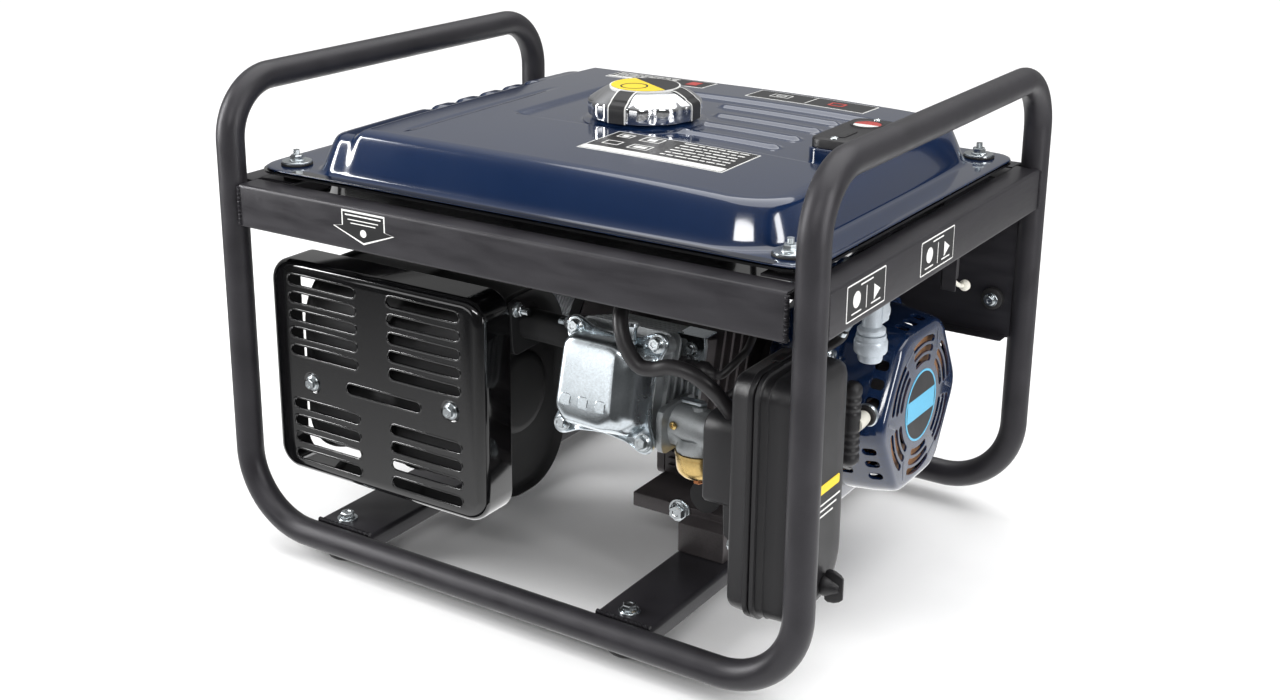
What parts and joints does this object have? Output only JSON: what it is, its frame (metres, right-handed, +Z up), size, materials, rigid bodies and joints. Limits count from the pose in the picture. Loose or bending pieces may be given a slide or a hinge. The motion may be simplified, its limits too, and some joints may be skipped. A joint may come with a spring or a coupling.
{
  "type": "portable generator",
  "caption": "Open-frame portable generator: a tube frame with lifting handles carries a fuel tank, a recoil-started single-cylinder engine and an alternator.",
  "frame": {"origin": "on the ground under the middle of the frame's footprint", "axes": "+X along the long side towards the recoil starter, -Y towards the valve cover and muffler guard, +Y towards the control panel, +Z up"},
  "size_m": [0.605, 0.484, 0.455],
  "materials": {
    "frame": "fine-textured charcoal powder coat on steel tube",
    "sheet": "satin charcoal paint on folded steel",
    "rubber": "moulded black rubber",
    "navy": "gloss navy enamel on pressed steel",
    "gloss_black": "gloss black enamel on pressed steel",
    "chrome": "bright chrome plate",
    "steel": "machined steel",
    "plastic": "fine-grained black moulded plastic",
    "red": "red moulded plastic",
    "foam": "open cell foam and moulded float",
    "cast_light": "bare die-cast aluminium",
    "zinc": "bright zinc plate on pressed steel",
    "cream": "cream plastic knob on a plated lever",
    "cast_grey": "dark grey painted die-cast aluminium",
    "copper": "lacquered copper windings in a laminated core",
    "rope": "white braided cord",
    "heat_black": "matte black heat resistant paint",
    "brass": "gold chromate plate"
  },
  "bodies": {
    "frame": {"frame_front_loop": "frame", "frame_rear_loop": "frame", "handle_left": "frame", "handle_right": "frame", "upper_rail_front": "sheet", "upper_rail_rear": "sheet", "upper_rail_left": "sheet", "upper_rail_right": "sheet", "base_channel_left": "sheet", "base_channel_right": "sheet", "control_panel": "sheet", "foot_front_left": "rubber", "foot_front_right": "rubber", "foot_rear_left": "rubber", "foot_rear_right": "rubber", "tank_upper_shell": "navy", "fan_housing": "navy", "recoil_cover": "navy", "tank_lower_shell": "gloss_black", "muffler_guard": "gloss_black", "fuel_strainer": "steel", "fuel_gauge_body": "plastic", "air_filter_case": "plastic", "intake_duct": "plastic", "outlet_left": "plastic", "outlet_right": "plastic", "voltmeter_body": "plastic", "air_filter_element": "foam", "fuel_valve_body": "cast_light", "cylinder_head": "cast_light", "carburettor_body": "cast_light", "alternator_end_cover": "cast_light", "sediment_cup": "zinc", "valve_cover": "zinc", "crankcase": "cast_grey", "alternator_adapter": "cast_grey", "alternator_stator": "copper", "exhaust_pipe": "heat_black", "muffler": "heat_black", "float_bowl": "brass"},
    "cap_seat": {"cap_gasket": "rubber"},
    "cap": {"fuel_cap": "chrome"},
    "gauge_arm": {"fuel_gauge_float": "foam"},
    "gauge_dial": {"fuel_gauge_dial": "red"},
    "fuel_lever": {"fuel_valve_lever": "cast_light"},
    "choke": {"choke_lever": "cream"},
    "throttle": {"throttle_arm": "zinc"},
    "crank": {"crankshaft": "steel", "flywheel": "cast_light", "alternator_rotor": "steel"},
    "cam": {"camshaft": "steel"},
    "piston": {"piston": "cast_light"},
    "grip": {"starter_grip": "plastic", "starter_rope": "rope"},
    "pulley": {"starter_pulley": "plastic"},
    "filter_lid": {"air_filter_cover": "plastic"},
    "filter_knob": {"air_filter_knob": "plastic"},
    "rocker": {"engine_switch": "red"},
    "button": {"breaker_button": "plastic"},
    "needle": {"voltmeter_needle": "red"}
  },
  "joints": [
    {"name": "cap_lift", "type": "slide", "parent": "frame", "child": "cap_seat", "axis": [0, 0, 1], "range_m": [0, 0.12]},
    {"name": "cap_turn", "type": "hinge", "parent": "cap_seat", "child": "cap", "pos_m": [0.004, -0.003, 0.43], "axis": [0, 0, 1], "range_deg": [0, 90]},
    {"name": "gauge_float_swing", "type": "hinge", "parent": "frame", "child": "gauge_arm", "pos_m": [0.205, 0.015, 0.364], "axis": [0, 1, 0], "range_deg": [-12, 12]},
    {"name": "gauge_dial_turn", "type": "hinge", "parent": "frame", "child": "gauge_dial", "pos_m": [0.205, 0.037, 0.413], "axis": [0, 0, 1], "range_deg": [-60, 60]},
    {"name": "fuel_lever_turn", "type": "hinge", "parent": "frame", "child": "fuel_lever", "pos_m": [0.262, -0.041, 0.284], "axis": [0, 1, 0], "range_deg": [0, 90]},
    {"name": "choke_turn", "type": "hinge", "parent": "frame", "child": "choke", "pos_m": [0.272, 0.084, 0.279], "axis": [1, 0, 0], "range_deg": [0, 35]},
    {"name": "throttle_turn", "type": "hinge", "parent": "frame", "child": "throttle", "pos_m": [0.156, -0.155, 0.214], "axis": [0, 0, 1], "range_deg": [-20, 30]},
    {"name": "crank_spin", "type": "hinge", "parent": "frame", "child": "crank", "pos_m": [0.084, 0.061, 0.164], "axis": [1, 0, 0], "continuous": true},
    {"name": "cam_spin", "type": "hinge", "parent": "frame", "child": "cam", "pos_m": [0.084, 0.033, 0.114], "axis": [1, 0, 0], "continuous": true},
    {"name": "piston_stroke", "type": "slide", "parent": "frame", "child": "piston", "axis": [0, -0.9703, 0.2419], "range_m": [-0.027, 0.027]},
    {"name": "starter_pull", "type": "slide", "parent": "frame", "child": "grip", "axis": [0.866, -0.5, 0], "range_m": [0, 0.6], "stiffness_N_per_m": 30, "springref_m": -0.15, "deforming": ["starter_rope"]},
    {"name": "pulley_turn", "type": "hinge", "parent": "frame", "child": "pulley", "pos_m": [0.219, 0.061, 0.164], "axis": [1, 0, 0], "range_deg": [0, 900]},
    {"name": "filter_lid_off", "type": "slide", "parent": "frame", "child": "filter_lid", "axis": [1, 0, 0], "range_m": [0, 0.12]},
    {"name": "filter_knob_turn", "type": "hinge", "parent": "filter_lid", "child": "filter_knob", "pos_m": [0.28, -0.15, 0.082], "axis": [1, 0, 0], "range_deg": [0, 360]},
    {"name": "rocker_tilt", "type": "hinge", "parent": "frame", "child": "rocker", "pos_m": [-0.006, 0.22, 0.286], "axis": [1, 0, 0], "range_deg": [0, 12]},
    {"name": "breaker_press", "type": "slide", "parent": "frame", "child": "button", "axis": [0, -1, 0], "range_m": [0, 0.004], "stiffness_N_per_m": 300, "springref_m": -0.001},
    {"name": "needle_swing", "type": "hinge", "parent": "frame", "child": "needle", "pos_m": [0.214, 0.226, 0.28], "axis": [0, 1, 0], "range_deg": [-50, 50]}
  ],
  "couplings": [
    {"joint": "cam_spin", "follows": "crank_spin", "ratio": -0.5},
    {"joint": "pulley_turn", "follows": "starter_pull", "rad_per_m": 25},
    {"joint": "gauge_dial_turn", "follows": "gauge_float_swing", "ratio": 4}
  ]
}
